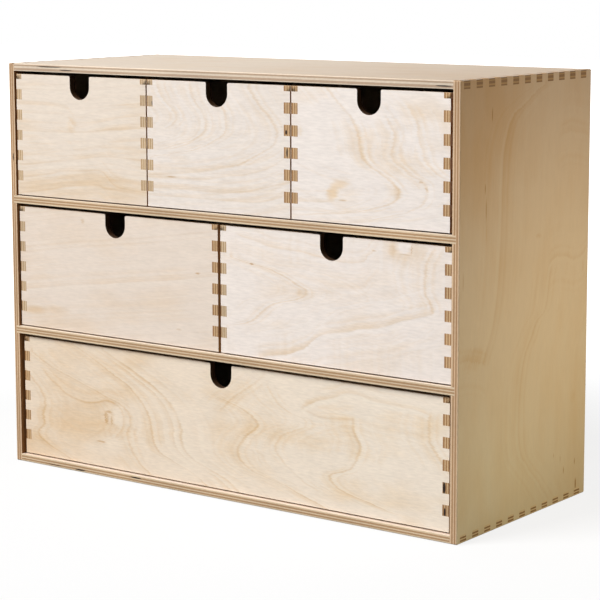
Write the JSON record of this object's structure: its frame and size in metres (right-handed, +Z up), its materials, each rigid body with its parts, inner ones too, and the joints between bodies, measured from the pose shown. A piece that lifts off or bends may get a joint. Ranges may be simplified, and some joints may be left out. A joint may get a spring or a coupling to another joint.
{
  "type": "desktop mini drawers",
  "caption": "Desktop chest of small birch plywood drawers in stacked rows, with a U-shaped finger notch in each front and box-jointed corners; the drawers slide out to the front.",
  "frame": {"origin": "middle of the underside", "axes": "+X to the right seen from the front, +Y to the back, +Z up"},
  "size_m": [0.42, 0.18, 0.32],
  "materials": {
    "birch_ply_cabinet": "sanded, unvarnished birch veneer",
    "birch_ply_drawer": "sanded, unvarnished birch veneer",
    "birch_ply_thin": "sanded, unvarnished birch veneer"
  },
  "bodies": {
    "cabinet": {"side_left": "birch_ply_cabinet", "side_right": "birch_ply_cabinet", "top_panel": "birch_ply_cabinet", "bottom_panel": "birch_ply_cabinet", "shelf_lower": "birch_ply_cabinet", "shelf_upper": "birch_ply_cabinet", "back_panel": "birch_ply_thin"},
    "bottom_drawer": {"bottom_drawer_front": "birch_ply_drawer", "bottom_drawer_back": "birch_ply_drawer", "bottom_drawer_left": "birch_ply_drawer", "bottom_drawer_right": "birch_ply_drawer", "bottom_drawer_base": "birch_ply_thin"},
    "middle_left_drawer": {"middle_left_drawer_front": "birch_ply_drawer", "middle_left_drawer_back": "birch_ply_drawer", "middle_left_drawer_left": "birch_ply_drawer", "middle_left_drawer_right": "birch_ply_drawer", "middle_left_drawer_base": "birch_ply_thin"},
    "middle_right_drawer": {"middle_right_drawer_front": "birch_ply_drawer", "middle_right_drawer_back": "birch_ply_drawer", "middle_right_drawer_left": "birch_ply_drawer", "middle_right_drawer_right": "birch_ply_drawer", "middle_right_drawer_base": "birch_ply_thin"},
    "top_left_drawer": {"top_left_drawer_front": "birch_ply_drawer", "top_left_drawer_back": "birch_ply_drawer", "top_left_drawer_left": "birch_ply_drawer", "top_left_drawer_right": "birch_ply_drawer", "top_left_drawer_base": "birch_ply_thin"},
    "top_centre_drawer": {"top_centre_drawer_front": "birch_ply_drawer", "top_centre_drawer_back": "birch_ply_drawer", "top_centre_drawer_left": "birch_ply_drawer", "top_centre_drawer_right": "birch_ply_drawer", "top_centre_drawer_base": "birch_ply_thin"},
    "top_right_drawer": {"top_right_drawer_front": "birch_ply_drawer", "top_right_drawer_back": "birch_ply_drawer", "top_right_drawer_left": "birch_ply_drawer", "top_right_drawer_right": "birch_ply_drawer", "top_right_drawer_base": "birch_ply_thin"}
  },
  "joints": [
    {"name": "bottom_drawer_slide", "type": "slide", "parent": "cabinet", "child": "bottom_drawer", "axis": [0, -1, 0], "range_m": [0, 0.15]},
    {"name": "middle_left_drawer_slide", "type": "slide", "parent": "cabinet", "child": "middle_left_drawer", "axis": [0, -1, 0], "range_m": [0, 0.15]},
    {"name": "middle_right_drawer_slide", "type": "slide", "parent": "cabinet", "child": "middle_right_drawer", "axis": [0, -1, 0], "range_m": [0, 0.15]},
    {"name": "top_left_drawer_slide", "type": "slide", "parent": "cabinet", "child": "top_left_drawer", "axis": [0, -1, 0], "range_m": [0, 0.15]},
    {"name": "top_centre_drawer_slide", "type": "slide", "parent": "cabinet", "child": "top_centre_drawer", "axis": [0, -1, 0], "range_m": [0, 0.15]},
    {"name": "top_right_drawer_slide", "type": "slide", "parent": "cabinet", "child": "top_right_drawer", "axis": [0, -1, 0], "range_m": [0, 0.15]}
  ]
}
